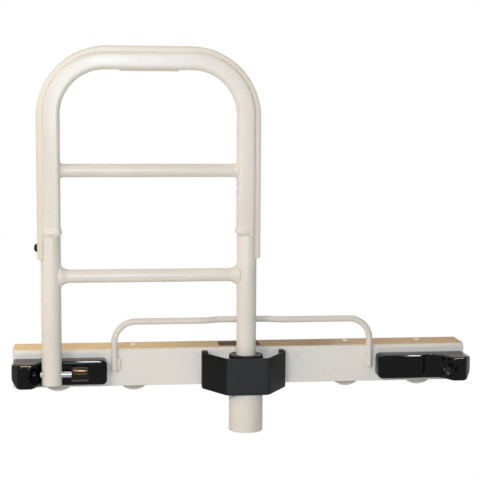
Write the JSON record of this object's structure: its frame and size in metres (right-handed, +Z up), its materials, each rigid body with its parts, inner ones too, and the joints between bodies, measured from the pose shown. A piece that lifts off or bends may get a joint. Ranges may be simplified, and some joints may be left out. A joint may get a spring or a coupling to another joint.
{
  "type": "bed assist rail",
  "caption": "Hand rail on a pivot post that swings along the side of a bed and locks to moulded catches, on a steel channel with clamp knobs",
  "frame": {"origin": "middle of the channel's inner face, which lies against the side of the bed", "axes": "+X along the channel from the locked catch to the other catch, +Y into the bed, +Z up"},
  "size_m": [0.674, 0.1251, 0.5527],
  "materials": {
    "cream_paint": "gloss cream powder coat",
    "cream_guard": "smooth cream plastic",
    "black_gloss": "glossy black moulding",
    "dark_cover": "matte charcoal moulding",
    "black_nylon": "dull black nylon",
    "chrome": "polished plate",
    "zinc_steel": "zinc plate",
    "spring_steel": "drawn wire",
    "beige_knob": "glossy beige moulding"
  },
  "bodies": {
    "frame": {"mount_channel": "cream_paint", "mattress_keeper": "cream_paint", "pivot_socket": "cream_paint", "gusset_upper": "cream_paint", "gusset_lower": "cream_paint", "upper_bushing": "black_nylon", "lower_bushing": "black_nylon", "pivot_cover": "dark_cover", "cover_screw_left": "zinc_steel", "cover_screw_right": "zinc_steel", "left_catch": "black_gloss", "left_catch_bolt_inner": "zinc_steel", "left_catch_bolt_outer": "zinc_steel", "right_catch": "black_gloss", "right_catch_bolt_inner": "zinc_steel", "right_catch_bolt_outer": "zinc_steel", "clamp_bolt_1": "cream_paint", "clamp_bolt_2": "cream_paint", "clamp_bolt_3": "cream_paint", "clamp_bolt_4": "cream_paint"},
    "rail": {"handle_frame": "cream_paint", "left_leg": "cream_paint", "pivot_leg": "cream_paint", "foot_cap": "black_nylon", "upper_rung": "cream_paint", "lower_rung": "cream_paint", "edge_guard": "cream_guard", "guard_screw": "black_nylon", "trigger_spring_left": "spring_steel", "trigger_spring_right": "spring_steel", "cable_stop": "zinc_steel", "cable_casing": "black_nylon", "cable_anchor": "zinc_steel", "rod_spring": "spring_steel", "post_end_plug": "zinc_steel", "retaining_washer": "zinc_steel", "retaining_bolt": "zinc_steel"},
    "trigger": {"trigger": "cream_guard"},
    "cable_slide": {"cable_slide": "zinc_steel", "slide_dowel": "zinc_steel", "upper_wire": "spring_steel"},
    "release_rod": {"release_rod": "zinc_steel", "lower_wire": "spring_steel"},
    "lock_pin": {"lock_pin": "chrome", "pin_dowel": "zinc_steel", "pin_knob": "black_gloss"},
    "clamp_1": {"clamp_washer_1": "zinc_steel"},
    "clamp_2": {"clamp_washer_2": "zinc_steel"},
    "clamp_3": {"clamp_washer_3": "zinc_steel"},
    "clamp_4": {"clamp_washer_4": "zinc_steel"},
    "knob_1": {"clamp_knob_1": "beige_knob"},
    "knob_2": {"clamp_knob_2": "beige_knob"},
    "knob_3": {"clamp_knob_3": "beige_knob"},
    "knob_4": {"clamp_knob_4": "beige_knob"}
  },
  "joints": [
    {"name": "rail_swing", "type": "hinge", "parent": "frame", "child": "rail", "pos_m": [0, -0.0416, 0], "axis": [0, 0, 1], "range_deg": [0, 180]},
    {"name": "trigger_squeeze", "type": "slide", "parent": "rail", "child": "trigger", "axis": [0, 0, 1], "range_m": [-0.007, 0], "deforming": ["trigger_spring_left", "trigger_spring_right"]},
    {"name": "cable_pull", "type": "slide", "parent": "rail", "child": "cable_slide", "axis": [1, 0, 0], "range_m": [-0.007, 0]},
    {"name": "rod_lift", "type": "slide", "parent": "rail", "child": "release_rod", "axis": [0, 0, 1], "range_m": [-0.007, 0], "deforming": ["rod_spring"]},
    {"name": "pin_latch", "type": "slide", "parent": "rail", "child": "lock_pin", "axis": [1, 0, 0], "range_m": [-0.011, 0]},
    {"name": "clamp_raise_1", "type": "slide", "parent": "frame", "child": "clamp_1", "axis": [0, 0, 1], "range_m": [0, 0.005]},
    {"name": "clamp_raise_2", "type": "slide", "parent": "frame", "child": "clamp_2", "axis": [0, 0, 1], "range_m": [0, 0.005]},
    {"name": "clamp_raise_3", "type": "slide", "parent": "frame", "child": "clamp_3", "axis": [0, 0, 1], "range_m": [0, 0.005]},
    {"name": "clamp_raise_4", "type": "slide", "parent": "frame", "child": "clamp_4", "axis": [0, 0, 1], "range_m": [0, 0.005]},
    {"name": "knob_turn_1", "type": "hinge", "parent": "clamp_1", "child": "knob_1", "pos_m": [-0.272, 0.026, 0], "axis": [0, 0, 1], "range_deg": [0, 1800]},
    {"name": "knob_turn_2", "type": "hinge", "parent": "clamp_2", "child": "knob_2", "pos_m": [-0.1605, 0.026, 0], "axis": [0, 0, 1], "range_deg": [0, 1800]},
    {"name": "knob_turn_3", "type": "hinge", "parent": "clamp_3", "child": "knob_3", "pos_m": [0.1605, 0.026, 0], "axis": [0, 0, 1], "range_deg": [0, 1800]},
    {"name": "knob_turn_4", "type": "hinge", "parent": "clamp_4", "child": "knob_4", "pos_m": [0.272, 0.026, 0], "axis": [0, 0, 1], "range_deg": [0, 1800]}
  ],
  "couplings": [
    {"joint": "cable_pull", "follows": "trigger_squeeze", "ratio": 1},
    {"joint": "rod_lift", "follows": "trigger_squeeze", "ratio": 1},
    {"joint": "pin_latch", "follows": "trigger_squeeze", "ratio": 1.5714},
    {"joint": "clamp_raise_1", "follows": "knob_turn_1", "m_per_rad": 0.00015915},
    {"joint": "clamp_raise_2", "follows": "knob_turn_2", "m_per_rad": 0.00015915},
    {"joint": "clamp_raise_3", "follows": "knob_turn_3", "m_per_rad": 0.00015915},
    {"joint": "clamp_raise_4", "follows": "knob_turn_4", "m_per_rad": 0.00015915}
  ]
}
